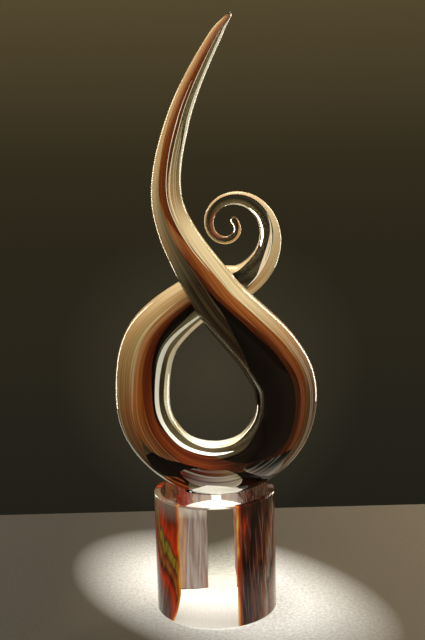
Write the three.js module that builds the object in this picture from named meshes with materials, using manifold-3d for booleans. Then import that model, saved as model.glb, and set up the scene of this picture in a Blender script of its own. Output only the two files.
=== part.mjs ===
// A free-standing glass sculpture. A layered glass rod is bent into one loop, crosses itself,
// rises as a pointed horn and ends behind the crossing in a drawn-out curl. The loop is ground
// flat underneath and glued onto a clear glass cylinder that is wrapped in two coloured panels.
// Millimetres, +Z up. The front is -Y. The origin is the centre of the base's underside.

import * as THREE from 'three';
import { mergeVertices } from 'three/addons/utils/BufferGeometryUtils.js';
import Module from 'manifold-3d';

// Base
const BASE_DIAMETER = 95;
const BASE_HEIGHT = 96;
const BASE_EDGE_RADIUS = 1.6;
const PANEL_THICKNESS = 5;
// Panel edges as bearings round the axis: 0 is the front, and positive is towards +X
const LEFT_PANEL_BEARINGS = [-177, -37];
const RIGHT_PANEL_BEARINGS = [20.5, 173];

// Joints between pieces
const GLUE_THICKNESS = 0.4;
const FIT_GAP = 0.3;

// Loop: its lower three quarters are round, measured to the rod's centre line
const LOOP_RADIUS = 55.6;
const LOOP_OFFSET_X = 1.5;
const FOOT_GRIND_DEPTH = 4;
const SHOULDER_INSET = 9.5;
const SHOULDER_RISE = 47;
// How far forward the foot and how far back the left shoulder lie, as shares of the way from
// the middle plane to the front and the back crossing
const FOOT_DEPTH_SHARE = 0.2;
const SHOULDER_DEPTH_SHARE = 0.5;

// Crossing: the front and back runs of the rod pass each other here
const NECK_RISE = 28;
const CROSSING_OFFSET_X = 4.2;
const CROSSING_CLEARANCE = 0.6;

// Horn: it sweeps out to the left, then follows one long arc up to its tip
const HORN_BEND_RISE = 66;
const HORN_BEND_OFFSET_X = -33.2;
const HORN_BEND_DEPTH = -13;
const HORN_ARC_RADIUS = 215;
const HORN_ARC_RISE = 138;
const HORN_TIP_DEPTH = -4;

// Curl: a logarithmic spiral that starts at the crossing. Angles are in degrees from +X
const CURL_RADIUS = 31.4;
const CURL_TIGHTENING = 0.246;
const CURL_EYE_RADIUS = 6.4;
const CURL_START_ANGLE = -104;
const CURL_END_ANGLE = 436;
const CURL_END_DEPTH = 9;
const CURL_STATION_STEP = 30;

// Rod radii along the way from the horn's tip to the curl's tip
const HORN_TIP_RADIUS = 1.3;
const HORN_POINT_RADIUS = 4.7;
const HORN_MIDDLE_RADIUS = 9;
const HORN_BEND_RADIUS = 12.3;
const FRONT_CROSSING_RADIUS = 19.6;
const RIGHT_RADIUS = 24.2;
const BOTTOM_RADIUS = 21.3;
const LOWER_LEFT_RADIUS = 20.3;
const LEFT_RADIUS = 21.4;
const BACK_CROSSING_RADIUS = 17;
const CURL_TIP_RADIUS = 2.7;
const CURL_DRAW_RATE = 0.57;
const HORN_BEAD_LENGTH = 5;
const CURL_BEAD_LENGTH = 4;
const BEAD_END_SHARE = 0.3;

// The rod is a stack of glass layers. Each row gives where one layer stops and the next
// starts, as shares of the rod's radius from +1 on the crystal side to -1 on the opaline side,
// in the order crystal, veil, dark, garnet, amber, opaline.
const LAYERS_AT_HORN = [0.27, 0.17, 0.02, -0.2, -0.55];
const LAYERS_AT_CROSSING = [0.34, 0.26, -0.12, -0.24, -0.52];
const LAYERS_AT_RIGHT = [0.72, 0.65, -0.33, -0.46, -0.63];
const LAYERS_AT_BOTTOM = [0.6, 0.5, 0.2, -0.1, -0.42];
const LAYERS_AT_LEFT = [0.5, 0.4, 0.16, -0.18, -0.45];
const LAYERS_IN_ARM = [0, 0, 0, 0, -0.4];
const LAYER_NAMES = [
  'crystal_layer', 'white_veil', 'dark_layer', 'garnet_layer', 'amber_layer', 'opaline_layer',
];
const THINNEST_LAYER = 0.5;

// The crystal side faces the loop's inside all along, but for the horn. Between the crossing
// and the horn's bend the layers make this turn about the rod, by way of the front, in degrees.
const TURN_ON_HORN = -180;

// Fineness of the route and of the faceted surfaces
const ROUTE_DIVISIONS = 2000;
const RING_TURN = 13;
const RING_SPACING = 13;
const ROUND_STEPS = 72;
const BEAD_STEPS = 12;
const EDGE_STEPS = 3;
const ARC_STEPS = [3, 1, 3, 2, 2, 4];

const GLASS_LOOKS = {
  crystal_layer: { color: '#dfe6df', opacity: 0.35 },
  white_veil: { color: '#f3ead2', opacity: 1 },
  dark_layer: { color: '#15100f', opacity: 1 },
  garnet_layer: { color: '#5e1a10', opacity: 1 },
  amber_layer: { color: '#a4581f', opacity: 1 },
  opaline_layer: { color: '#c9b083', opacity: 1 },
  glue_film: { color: '#f4f1e8', opacity: 0.5 },
  base_block: { color: '#e6ebe8', opacity: 0.35 },
  base_left_panel: { color: '#8a2c16', opacity: 1 },
  base_right_panel: { color: '#6b2a24', opacity: 1 },
};

const wasm = await Module();
wasm.setup();

// A closed geometry as a solid that can be cut and joined
function solidOf(geometry) {
  const bare = geometry.clone();
  bare.deleteAttribute('normal');
  bare.deleteAttribute('uv');
  const merged = mergeVertices(bare);
  return new wasm.Manifold(new wasm.Mesh({
    numProp: 3,
    vertProperties: merged.attributes.position.array,
    triVerts: new Uint32Array(merged.index.array),
  }));
}

function geometryOf(solid) {
  const mesh = solid.getMesh();
  const geometry = new THREE.BufferGeometry();
  geometry.setAttribute('position', new THREE.BufferAttribute(mesh.vertProperties, 3));
  geometry.setIndex(new THREE.BufferAttribute(mesh.triVerts, 1));
  return geometry;
}

function glassPiece(name, geometry) {
  const { color, opacity } = GLASS_LOOKS[name];
  geometry.computeVertexNormals();
  const material = new THREE.MeshStandardMaterial({
    color, opacity, transparent: opacity < 1, roughness: 0.05, metalness: 0,
  });
  const mesh = new THREE.Mesh(geometry, material);
  mesh.name = name;
  return mesh;
}

// Where the rod runs

const footHeight = BASE_HEIGHT + GLUE_THICKNESS;
const loopCentre = new THREE.Vector3(
  LOOP_OFFSET_X, 0, footHeight + BOTTOM_RADIUS - FOOT_GRIND_DEPTH + LOOP_RADIUS,
);
const crossingSpacing = FRONT_CROSSING_RADIUS + BACK_CROSSING_RADIUS + CROSSING_CLEARANCE;
const crossing = new THREE.Vector3(
  CROSSING_OFFSET_X, 0, loopCentre.z + LOOP_RADIUS + NECK_RISE,
);
const frontDepth = -crossingSpacing / 2;
const backDepth = crossingSpacing / 2;

// A station is one place that the rod passes, with its radius, layers and turn there
function station(x, y, z, radius, layers, turn = 0) {
  return { point: new THREE.Vector3(x, y, z), radius, layers, turn };
}

// The horn's arc, from its tip down to its bend. Its centre lies level with the bend. Each row
// gives a share of the arc's rise and the rod's radius there.
function hornStations() {
  const bendX = crossing.x + HORN_BEND_OFFSET_X;
  const bendZ = crossing.z + HORN_BEND_RISE;
  const rows = [
    [1, HORN_TIP_RADIUS],
    [0.9, HORN_POINT_RADIUS],
    [0.45, HORN_MIDDLE_RADIUS],
    [0, HORN_BEND_RADIUS],
  ];
  return rows.map(([share, radius]) => {
    const rise = share * HORN_ARC_RISE;
    const x = bendX + HORN_ARC_RADIUS - Math.sqrt(HORN_ARC_RADIUS ** 2 - rise ** 2);
    const y = THREE.MathUtils.lerp(HORN_BEND_DEPTH, HORN_TIP_DEPTH, share);
    return station(x, y, bendZ + rise, radius, LAYERS_AT_HORN, TURN_ON_HORN);
  });
}

// The loop's round part, clockwise seen from the front, from its right shoulder to its left.
// Each row gives an angle round the loop, the depth as a share of the front crossing's, and the
// rod's radius and layers there.
function loopStations() {
  const rows = [
    [39, 0.8, RIGHT_RADIUS, LAYERS_AT_RIGHT],
    [10, 0.66, RIGHT_RADIUS, LAYERS_AT_RIGHT],
    [-25, 0.5, (RIGHT_RADIUS + BOTTOM_RADIUS) / 2, LAYERS_AT_RIGHT],
    [-58, 0.35, BOTTOM_RADIUS, LAYERS_AT_BOTTOM],
    [-90, FOOT_DEPTH_SHARE, BOTTOM_RADIUS, LAYERS_AT_BOTTOM],
    [-122, 0.05, LOWER_LEFT_RADIUS, LAYERS_AT_LEFT],
    [-155, -0.08, (LOWER_LEFT_RADIUS + LEFT_RADIUS) / 2, LAYERS_AT_LEFT],
    [-184, -0.2, LEFT_RADIUS, LAYERS_AT_LEFT],
  ];
  return rows.map(([angle, frontShare, radius, layers]) => {
    const bearing = THREE.MathUtils.degToRad(angle);
    const x = loopCentre.x + LOOP_RADIUS * Math.cos(bearing);
    const z = loopCentre.z + LOOP_RADIUS * Math.sin(bearing);
    return station(x, frontShare * frontDepth, z, radius, layers);
  });
}

// The spiral tightens until it reaches the radius of its eye
function curlRadiusAt(angle) {
  const turned = THREE.MathUtils.degToRad(angle);
  return Math.max(CURL_RADIUS * Math.exp(-CURL_TIGHTENING * turned), CURL_EYE_RADIUS);
}

// The curl's spiral leaves the crossing and winds inwards, counter-clockwise from the front,
// while the rod is drawn out from its thickness at the crossing to its tip.
function curlStations() {
  const startBearing = THREE.MathUtils.degToRad(CURL_START_ANGLE);
  const startRadius = curlRadiusAt(CURL_START_ANGLE);
  const centreX = crossing.x - startRadius * Math.cos(startBearing);
  const centreZ = crossing.z - startRadius * Math.sin(startBearing);
  const stepCount = Math.round((CURL_END_ANGLE - CURL_START_ANGLE) / CURL_STATION_STEP);
  const stations = [];
  for (let step = 1; step <= stepCount; step += 1) {
    const share = step / stepCount;
    const angle = THREE.MathUtils.lerp(CURL_START_ANGLE, CURL_END_ANGLE, share);
    const bearing = THREE.MathUtils.degToRad(angle);
    const drawn = Math.exp(-CURL_DRAW_RATE * (bearing - startBearing));
    const radius = THREE.MathUtils.lerp(CURL_TIP_RADIUS, BACK_CROSSING_RADIUS, drawn);
    const depth = THREE.MathUtils.lerp(backDepth, CURL_END_DEPTH, Math.sqrt(share));
    stations.push(station(
      centreX + curlRadiusAt(angle) * Math.cos(bearing), depth,
      centreZ + curlRadiusAt(angle) * Math.sin(bearing), radius, LAYERS_IN_ARM,
    ));
  }
  return stations;
}

const shoulderX = loopCentre.x - LOOP_RADIUS + SHOULDER_INSET;
const stations = [
  ...hornStations(),
  station(crossing.x, frontDepth, crossing.z, FRONT_CROSSING_RADIUS, LAYERS_AT_CROSSING),
  ...loopStations(),
  station(
    shoulderX, SHOULDER_DEPTH_SHARE * backDepth, loopCentre.z + SHOULDER_RISE,
    LEFT_RADIUS, LAYERS_AT_LEFT,
  ),
  station(crossing.x, backDepth, crossing.z, BACK_CROSSING_RADIUS, LAYERS_AT_LEFT),
  ...curlStations(),
];

const route = new THREE.CatmullRomCurve3(stations.map(({ point }) => point), false, 'centripetal');
route.arcLengthDivisions = ROUTE_DIVISIONS;

// The radius runs on smoothly from station to station, kept here as the x of a curve
const radii = new THREE.CatmullRomCurve3(
  stations.map(({ radius }) => new THREE.Vector3(radius, 0, 0)), false, 'catmullrom',
);

// One ring of the rod at a distance along it: its centre, its own axes, radius and layers.
// "inward" points to the loop's inside and "backward" away from the front. Layers and turn ease
// from one station to the next.
function ringAt(distance) {
  const t = route.getUtoTmapping(distance / route.getLength());
  const along = route.getTangent(t);
  const inward = new THREE.Vector3(0, 1, 0).cross(along).normalize();
  const backward = along.clone().cross(inward);
  const place = t * (stations.length - 1);
  const index = Math.min(Math.floor(place), stations.length - 2);
  const [before, after] = [stations[index], stations[index + 1]];
  const eased = THREE.MathUtils.smoothstep(place, index, index + 1);
  const turn = THREE.MathUtils.degToRad(THREE.MathUtils.lerp(before.turn, after.turn, eased));
  const toCrystal = inward.clone().multiplyScalar(Math.cos(turn))
    .addScaledVector(backward, Math.sin(turn));
  const toSide = along.clone().cross(toCrystal);
  const limits = before.layers.map((limit, layer) => (
    THREE.MathUtils.lerp(limit, after.layers[layer], eased)
  ));
  const radius = radii.getPoint(t).x;
  return { distance, centre: route.getPoint(t), along, toCrystal, toSide, radius, limits };
}

// Rings from one distance to another, closer together where the rod bends or turns fast
function ringsBetween(start, end) {
  const rings = [ringAt(start)];
  for (let distance = start + 1; distance < end; distance += 1) {
    const ring = ringAt(distance);
    const last = rings[rings.length - 1];
    const bend = THREE.MathUtils.radToDeg(ring.along.angleTo(last.along));
    const turn = THREE.MathUtils.radToDeg(ring.toCrystal.angleTo(last.toCrystal));
    if (Math.max(bend, turn) >= RING_TURN || distance - last.distance >= RING_SPACING) {
      rings.push(ring);
    }
  }
  rings.push(ringAt(end));
  return rings;
}

function pointOnRing(ring, angle, radius) {
  return ring.centre.clone()
    .addScaledVector(ring.toCrystal, radius * Math.cos(angle))
    .addScaledVector(ring.toSide, radius * Math.sin(angle));
}

// A closed body through rings of points that run counter-clockwise about the travel direction.
// The last side of each ring is split along its other diagonal, so that the flat faces of two
// neighbouring layers are split alike where they twist.
function loft(rows) {
  const count = rows[0].length;
  const triangles = [];
  for (let row = 0; row + 1 < rows.length; row += 1) {
    for (let side = 0; side < count; side += 1) {
      const next = (side + 1) % count;
      const [a, b] = [row * count + side, row * count + next];
      const [c, d] = [a + count, b + count];
      if (next === 0) triangles.push(a, b, c, b, d, c);
      else triangles.push(a, b, d, a, d, c);
    }
  }
  const lastRow = (rows.length - 1) * count;
  for (let side = 1; side + 1 < count; side += 1) {
    triangles.push(0, side + 1, side);
    triangles.push(lastRow, lastRow + side, lastRow + side + 1);
  }
  const geometry = new THREE.BufferGeometry().setFromPoints(rows.flat());
  geometry.setIndex(triangles);
  return geometry;
}

// The outline of one layer on a ring, between two chords square to the crystal direction
function layerOutline(ring, layer) {
  const { radius, limits } = ring;
  const upper = layer === 0 ? radius : radius * limits[layer - 1] - FIT_GAP / 2;
  const lower = layer === limits.length ? -radius : radius * limits[layer] + FIT_GAP / 2;
  const steps = ARC_STEPS[layer];
  const first = Math.acos(upper / radius);
  const last = Math.acos(lower / radius);
  const angles = [];
  for (let step = 0; step <= steps; step += 1) {
    angles.push(THREE.MathUtils.lerp(first, last, step / steps));
  }
  const mirrored = angles.map((angle) => 2 * Math.PI - angle).reverse();
  if (layer === 0) mirrored.pop();
  if (layer === limits.length) mirrored.shift();
  return {
    thickness: upper - lower,
    points: [...angles, ...mirrored].map((angle) => pointOnRing(ring, angle, radius)),
  };
}

// The crystal layer runs on into both beads, and the others stop at them
const layerRings = ringsBetween(HORN_BEAD_LENGTH, route.getLength() - CURL_BEAD_LENGTH);
const crystalRings = [
  ringAt(HORN_BEAD_LENGTH / 2), ...layerRings, ringAt(route.getLength() - CURL_BEAD_LENGTH / 2),
];

// A layer runs as far as it is thick enough to be a layer
function layerGeometry(layer) {
  const rings = layer === 0 ? crystalRings : layerRings;
  const outlines = rings.map((ring) => layerOutline(ring, layer));
  return loft(outlines.filter(({ thickness }) => thickness >= THINNEST_LAYER)
    .map(({ points }) => points));
}

// A clear bead closes each end of the rod. It starts just past the layers' ends and takes in
// the end of the crystal layer.
function beadGeometry(start, end) {
  const rings = ringsBetween(Math.min(start, end), Math.max(start, end));
  const rows = rings.map((ring) => {
    const toTip = Math.abs(end - ring.distance);
    const rounding = ring.radius > toTip ? Math.sqrt(1 - (1 - toTip / ring.radius) ** 2) : 1;
    const radius = ring.radius * Math.max(rounding, BEAD_END_SHARE);
    return Array.from({ length: BEAD_STEPS }, (_, step) => (
      pointOnRing(ring, 2 * Math.PI * step / BEAD_STEPS, radius)
    ));
  });
  return loft(rows);
}

// Everything under the foot's plane is ground away, by a block wider than the whole loop
const loopReach = LOOP_RADIUS + Math.max(RIGHT_RADIUS, BOTTOM_RADIUS, LEFT_RADIUS);
const grinding = solidOf(
  new THREE.BoxGeometry(2 * loopReach, 2 * loopReach, footHeight)
    .translate(loopCentre.x, 0, footHeight / 2),
);

function rodLayers() {
  return LAYER_NAMES.map((name, layer) => {
    let solid = solidOf(layerGeometry(layer));
    if (layer === 0) {
      const hornBead = beadGeometry(HORN_BEAD_LENGTH - FIT_GAP, 0);
      const curlBead = beadGeometry(
        route.getLength() - CURL_BEAD_LENGTH + FIT_GAP, route.getLength(),
      );
      solid = solid.add(solidOf(hornBead)).add(solidOf(curlBead));
    }
    return glassPiece(name, geometryOf(solid.subtract(grinding)));
  });
}

// The glue fills the ground foot's outline: the section of a ring cut near its edge
function glueFilm() {
  const outer = LOOP_RADIUS + BOTTOM_RADIUS;
  const halfLength = Math.sqrt(outer ** 2 - (outer - FOOT_GRIND_DEPTH) ** 2);
  const halfWidth = Math.sqrt(BOTTOM_RADIUS ** 2 - (BOTTOM_RADIUS - FOOT_GRIND_DEPTH) ** 2);
  const outline = new THREE.Shape();
  outline.absellipse(
    loopCentre.x, FOOT_DEPTH_SHARE * frontDepth,
    halfLength - FIT_GAP, halfWidth - FIT_GAP, 0, 2 * Math.PI,
  );
  const film = new THREE.ExtrudeGeometry(outline, {
    depth: GLUE_THICKNESS, bevelEnabled: false, curveSegments: ROUND_STEPS / 2,
  });
  film.translate(0, 0, BASE_HEIGHT);
  return glassPiece('glue_film', film);
}

// The turned cylinder with softly rounded rims
function turnedBase() {
  const radius = BASE_DIAMETER / 2;
  const profile = [new THREE.Vector2(0, 0)];
  for (const [height, start] of [[BASE_EDGE_RADIUS, -90], [BASE_HEIGHT - BASE_EDGE_RADIUS, 0]]) {
    for (let step = 0; step <= EDGE_STEPS; step += 1) {
      const angle = THREE.MathUtils.degToRad(start + 90 * step / EDGE_STEPS);
      profile.push(new THREE.Vector2(
        radius - BASE_EDGE_RADIUS + BASE_EDGE_RADIUS * Math.cos(angle),
        height + BASE_EDGE_RADIUS * Math.sin(angle),
      ));
    }
  }
  profile.push(new THREE.Vector2(0, BASE_HEIGHT));
  return solidOf(new THREE.LatheGeometry(profile, ROUND_STEPS).rotateX(Math.PI / 2));
}

// The ring of material between an inner radius and past the rim, between two bearings
function wrapZone(innerRadius, [from, to], margin) {
  const start = THREE.MathUtils.degToRad(from - 90) - margin / innerRadius;
  const end = THREE.MathUtils.degToRad(to - 90) + margin / innerRadius;
  const outline = new THREE.Shape();
  outline.absarc(0, 0, BASE_DIAMETER, start, end, false);
  outline.absarc(0, 0, innerRadius, end, start, true);
  outline.closePath();
  const zone = new THREE.ExtrudeGeometry(outline, {
    depth: 2 * BASE_HEIGHT, bevelEnabled: false, curveSegments: ROUND_STEPS / 2,
  });
  return solidOf(zone.translate(0, 0, -BASE_HEIGHT / 2));
}

function basePieces() {
  const turned = turnedBase();
  const panelInside = BASE_DIAMETER / 2 - PANEL_THICKNESS;
  const left = turned.intersect(wrapZone(panelInside, LEFT_PANEL_BEARINGS, 0));
  const right = turned.intersect(wrapZone(panelInside, RIGHT_PANEL_BEARINGS, 0));
  const block = turned
    .subtract(wrapZone(panelInside - FIT_GAP, LEFT_PANEL_BEARINGS, FIT_GAP))
    .subtract(wrapZone(panelInside - FIT_GAP, RIGHT_PANEL_BEARINGS, FIT_GAP));
  return [
    glassPiece('base_block', geometryOf(block)),
    glassPiece('base_left_panel', geometryOf(left)),
    glassPiece('base_right_panel', geometryOf(right)),
  ];
}

const sculpture = new THREE.Group();
sculpture.name = 'glass_sculpture';
sculpture.add(...basePieces(), glueFilm(), ...rodLayers());

export default sculpture;
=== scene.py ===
"""Hot-worked glass sculpture: a cased and striped glass rod bent into a loop with a horn and a
curl, glued on a clear cylinder with coloured side panels. Metres, +Z up, -Y the front."""
import math
from collections import namedtuple
import bpy
import numpy as np
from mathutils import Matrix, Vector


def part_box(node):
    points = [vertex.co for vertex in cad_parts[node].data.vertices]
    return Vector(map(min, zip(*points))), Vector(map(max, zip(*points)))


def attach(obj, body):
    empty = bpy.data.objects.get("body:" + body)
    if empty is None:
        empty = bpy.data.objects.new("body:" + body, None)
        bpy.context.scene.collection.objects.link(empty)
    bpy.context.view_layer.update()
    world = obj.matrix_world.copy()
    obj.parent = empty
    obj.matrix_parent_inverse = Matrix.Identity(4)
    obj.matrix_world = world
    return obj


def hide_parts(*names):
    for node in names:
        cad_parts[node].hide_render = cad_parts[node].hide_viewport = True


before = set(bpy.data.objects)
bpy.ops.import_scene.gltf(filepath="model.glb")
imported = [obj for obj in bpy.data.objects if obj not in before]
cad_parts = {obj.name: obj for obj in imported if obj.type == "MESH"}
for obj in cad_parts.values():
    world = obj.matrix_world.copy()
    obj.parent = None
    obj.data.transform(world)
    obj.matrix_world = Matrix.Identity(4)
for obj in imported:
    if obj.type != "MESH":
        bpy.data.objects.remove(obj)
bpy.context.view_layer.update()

MM = 0.001

# the base, from the frame
BASE_LOW, BASE_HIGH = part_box("base_block")
BASE_RADIUS = -BASE_LOW.y
BASE_EDGE_RADIUS = 1.6 * MM
PANEL_THICKNESS = 4.4 * MM
PANEL_DEPTH = 0.7 * MM
LEFT_PANEL_BEARINGS = (-177, -37)
RIGHT_PANEL_BEARINGS = (20.5, 173)
FOOT_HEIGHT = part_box("glue_film")[1].z

# the rod's route
LOOP_RADIUS = 55.6 * MM
LOOP_OFFSET_X = 1.5 * MM
FOOT_GRIND_DEPTH = 4 * MM
SHOULDER_INSET = 9.5 * MM
SHOULDER_RISE = 47 * MM
SHOULDER_DEPTH_SHARE = 0.5
NECK_RISE = 28 * MM
CROSSING_OFFSET_X = 4.2 * MM
CROSSING_CLEARANCE = 0.6 * MM
HORN_BEND_RISE = 66 * MM
HORN_BEND_OFFSET_X = -33.2 * MM
HORN_BEND_DEPTH = -13 * MM
HORN_ARC_RADIUS = 215 * MM
HORN_ARC_RISE = 138 * MM
HORN_TIP_DEPTH = -4 * MM
CURL_RADIUS = 31.4 * MM
CURL_TIGHTENING = 0.246
CURL_EYE_RADIUS = 6.4 * MM
CURL_START_ANGLE = -104
CURL_TURN = 540
CURL_STEPS = 18
CURL_END_DEPTH = 9 * MM
CURL_TIP_RADIUS = 2.7 * MM
CURL_DRAW_RATE = 0.57
FRONT_CROSSING_RADIUS = 19.6 * MM
BACK_CROSSING_RADIUS = 17 * MM
BOTTOM_RADIUS = 21.3 * MM
LEFT_RADIUS = 21.4 * MM

# each row: share of the horn's rise, rod radius
HORN_STATIONS = ((1, 1.3 * MM), (0.9, 4.7 * MM), (0.45, 9 * MM), (0, 12.3 * MM))
# each row: angle round the loop from +X, share of the front depth, rod radius
LOOP_STATIONS = (
    (39, 0.8, 24.2 * MM),
    (10, 0.66, 24.2 * MM),
    (-25, 0.5, 22.75 * MM),
    (-58, 0.35, 21.3 * MM),
    (-90, 0.2, 21.3 * MM),
    (-122, 0.05, 20.3 * MM),
    (-155, -0.08, 20.85 * MM),
    (-184, -0.2, 21.4 * MM),
)

# a smooth rod stands proud of a faceted one of the same size, so it is drawn this much slimmer
SKIN_SHARE = 0.985
CAMERA_PLACE = (0, -0.732, 0.340)


def smooth_curve(points, place, chordal):
    """Catmull-Rom curve through points at the places (station numbers with their fractions);
    chordal spaces the knots by the square root of the distance between the points."""
    points = np.asarray(points, float)
    ends = np.vstack([2 * points[0] - points[1], points, 2 * points[-1] - points[-2]])
    first = np.minimum(np.floor(place).astype(int), len(points) - 2)
    share = (place - first)[:, None]
    p0, p1, p2, p3 = (ends[first + k] for k in range(4))
    d0, d1, d2 = (np.ones((len(place), 1)),) * 3
    if chordal:
        pairs = ((p0, p1), (p1, p2), (p2, p3))
        d0, d1, d2 = (np.sqrt(np.linalg.norm(b - a, axis=1))[:, None] for a, b in pairs)
    m1 = ((p1 - p0) / d0 - (p2 - p0) / (d0 + d1) + (p2 - p1) / d1) * d1
    m2 = ((p2 - p1) / d1 - (p3 - p1) / (d1 + d2) + (p3 - p2) / d2) * d1
    cubic = (2 * (p1 - p2) + m1 + m2) * share**3
    return p1 + m1 * share + (3 * (p2 - p1) - 2 * m1 - m2) * share**2 + cubic


def curl_reach(angle):
    """Distance of the curl's centre line from its eye: an exponential spiral with a least size."""
    return max(CURL_RADIUS * math.exp(-CURL_TIGHTENING * math.radians(angle)), CURL_EYE_RADIUS)


def rod_stations():
    """Rows of x, y, z and rod radius from the horn's tip over the loop to the curl's tip."""
    depth = BACK_CROSSING_RADIUS + FRONT_CROSSING_RADIUS + CROSSING_CLEARANCE
    front, back = -depth / 2, depth / 2
    centre_z = FOOT_HEIGHT + BOTTOM_RADIUS - FOOT_GRIND_DEPTH + LOOP_RADIUS
    crossing_z = centre_z + LOOP_RADIUS + NECK_RISE
    rows = []
    for share, radius in HORN_STATIONS:
        rise = share * HORN_ARC_RISE
        sweep = HORN_ARC_RADIUS - math.sqrt(HORN_ARC_RADIUS**2 - rise**2)
        x = CROSSING_OFFSET_X + HORN_BEND_OFFSET_X + sweep
        y = HORN_BEND_DEPTH + share * (HORN_TIP_DEPTH - HORN_BEND_DEPTH)
        rows.append((x, y, crossing_z + HORN_BEND_RISE + rise, radius))
    rows.append((CROSSING_OFFSET_X, front, crossing_z, FRONT_CROSSING_RADIUS))
    for angle, share, radius in LOOP_STATIONS:
        turn = math.radians(angle)
        x = LOOP_OFFSET_X + LOOP_RADIUS * math.cos(turn)
        rows.append((x, share * front, centre_z + LOOP_RADIUS * math.sin(turn), radius))
    shoulder_x = LOOP_OFFSET_X - LOOP_RADIUS + SHOULDER_INSET
    rows.append((shoulder_x, SHOULDER_DEPTH_SHARE * back, centre_z + SHOULDER_RISE, LEFT_RADIUS))
    rows.append((CROSSING_OFFSET_X, back, crossing_z, BACK_CROSSING_RADIUS))
    start = math.radians(CURL_START_ANGLE)
    eye_x = CROSSING_OFFSET_X - curl_reach(CURL_START_ANGLE) * math.cos(start)
    eye_z = crossing_z - curl_reach(CURL_START_ANGLE) * math.sin(start)
    for step in range(1, CURL_STEPS + 1):
        share = step / CURL_STEPS
        angle = CURL_START_ANGLE + share * CURL_TURN
        turn = math.radians(angle)
        drawn = math.exp(-CURL_DRAW_RATE * (turn - start))
        reach = curl_reach(angle)
        y = back + (CURL_END_DEPTH - back) * math.sqrt(share)
        radius = CURL_TIP_RADIUS + (BACK_CROSSING_RADIUS - CURL_TIP_RADIUS) * drawn
        rows.append((eye_x + reach * math.cos(turn), y, eye_z + reach * math.sin(turn), radius))
    return np.array(rows)


def unit(vectors):
    return vectors / np.linalg.norm(vectors, axis=1)[:, None]


STATIONS = rod_stations()
ROUTE_SAMPLES = 4001
PLACES = np.linspace(0, len(STATIONS) - 1, ROUTE_SAMPLES)
CENTRE = smooth_curve(STATIONS[:, :3], PLACES, True)
RADIUS = smooth_curve(STATIONS[:, 3:], PLACES, False)[:, 0] * SKIN_SHARE
ALONG = unit(np.gradient(CENTRE, axis=0))
INWARD = unit(np.cross([0, 1, 0], ALONG))
BACKWARD = np.cross(ALONG, INWARD)
RUN = np.concatenate([[0], np.cumsum(np.linalg.norm(np.diff(CENTRE, axis=0), axis=1))])
TO_CAMERA = unit(np.array(CAMERA_PLACE) - CENTRE)
# how far round the rod the point that faces the viewer lies from the middle of its front
TILT = np.degrees(
    np.arctan2(-np.sum(TO_CAMERA * BACKWARD, axis=1), np.sum(TO_CAMERA * INWARD, axis=1))
) - 90


def sampled(values, run):
    """Values of the dense route at these runs, column by column."""
    if values.ndim == 1:
        return np.interp(run, RUN, values)
    return np.stack([np.interp(run, RUN, values[:, k]) for k in range(values.shape[1])], 1)


def run_at(place):
    return float(np.interp(place, PLACES, RUN))


def rod_points(run, turn, share, lowest):
    """Points on the rod: centre + share of the radius x (cos turn inward - sin turn backward),
    ground flat at the height lowest. turn and share have a row for each run."""
    centre, radius = sampled(CENTRE, run), sampled(RADIUS, run)
    inward, backward = unit(sampled(INWARD, run)), unit(sampled(BACKWARD, run))
    reach = (radius[:, None] * share)[:, :, None]
    out = np.cos(turn)[:, :, None] * inward[:, None] - np.sin(turn)[:, :, None] * backward[:, None]
    points = centre[:, None] + reach * out
    points[:, :, 2] = np.maximum(points[:, :, 2], lowest)
    return points


# meshes

# a closed tube: rings of points (n x m x 3), lengths along and round it (n x m+1 x 2), shares
# across and along it (n x m+1 x 2), whether its rings turn clockwise as seen from the last
# ring, its material, and its inner material, from each ring's point number inner_from on
Tube = namedtuple("Tube", "points lengths shares clockwise material inner inner_from")


def add_piece(name, mesh, node):
    piece = bpy.data.objects.new(name, mesh)
    bpy.context.scene.collection.objects.link(piece)
    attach(piece, "root")
    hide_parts(node)


def make_piece(name, tubes, node):
    """One mesh from closed tubes: rings are joined by quads, and each end is closed by a face."""
    verts, faces, numbers, materials = [], [], [], []
    maps = {"lengths": [], "shares": []}
    offset = 0
    for tube in tubes:
        rows, cols = tube.points.shape[:2]
        for material in (tube.material, tube.inner):
            if material not in materials:
                materials.append(material)
        index = np.arange(rows * cols).reshape(rows, cols) + offset
        ahead = np.roll(index, -1, axis=1)
        quads = np.stack([index[:-1], ahead[:-1], ahead[1:], index[1:]], -1)
        ends = [index[0][::-1], index[-1]]
        if tube.clockwise:
            quads, ends = quads[..., ::-1], [end[::-1] for end in ends]
        for key, uvs in maps.items():
            uv = getattr(tube, key)
            corner = np.stack([uv[:-1, :-1], uv[:-1, 1:], uv[1:, 1:], uv[1:, :-1]], 2)
            end_uvs = [uv[0, :-1][::-1], uv[-1, :-1]]
            if tube.clockwise:
                corner, end_uvs = corner[:, :, ::-1], [end[::-1] for end in end_uvs]
            uvs += [corner.reshape(-1, 2), *end_uvs]
        verts.append(tube.points.reshape(-1, 3))
        faces += quads.reshape(-1, 4).tolist() + [end.tolist() for end in ends]
        pair = np.array([materials.index(tube.material), materials.index(tube.inner)])
        is_inner = np.tile(np.arange(cols) >= tube.inner_from, rows - 1)
        numbers += pair[is_inner.astype(int)].tolist() + [int(pair[0])] * 2
        offset += rows * cols
    mesh = bpy.data.meshes.new(name)
    mesh.from_pydata(np.concatenate(verts).tolist(), [], faces)
    for key, uvs in maps.items():
        layer = mesh.uv_layers.new(name=key)
        layer.data.foreach_set("uv", np.concatenate(uvs).astype(np.float32).ravel())
    for material in materials:
        mesh.materials.append(material)
    mesh.polygons.foreach_set("material_index", np.array(numbers, np.int32))
    mesh.polygons.foreach_set("use_smooth", [True] * len(faces))
    mesh.update()
    add_piece(name, mesh, node)
    return mesh


# colours and materials

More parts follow.
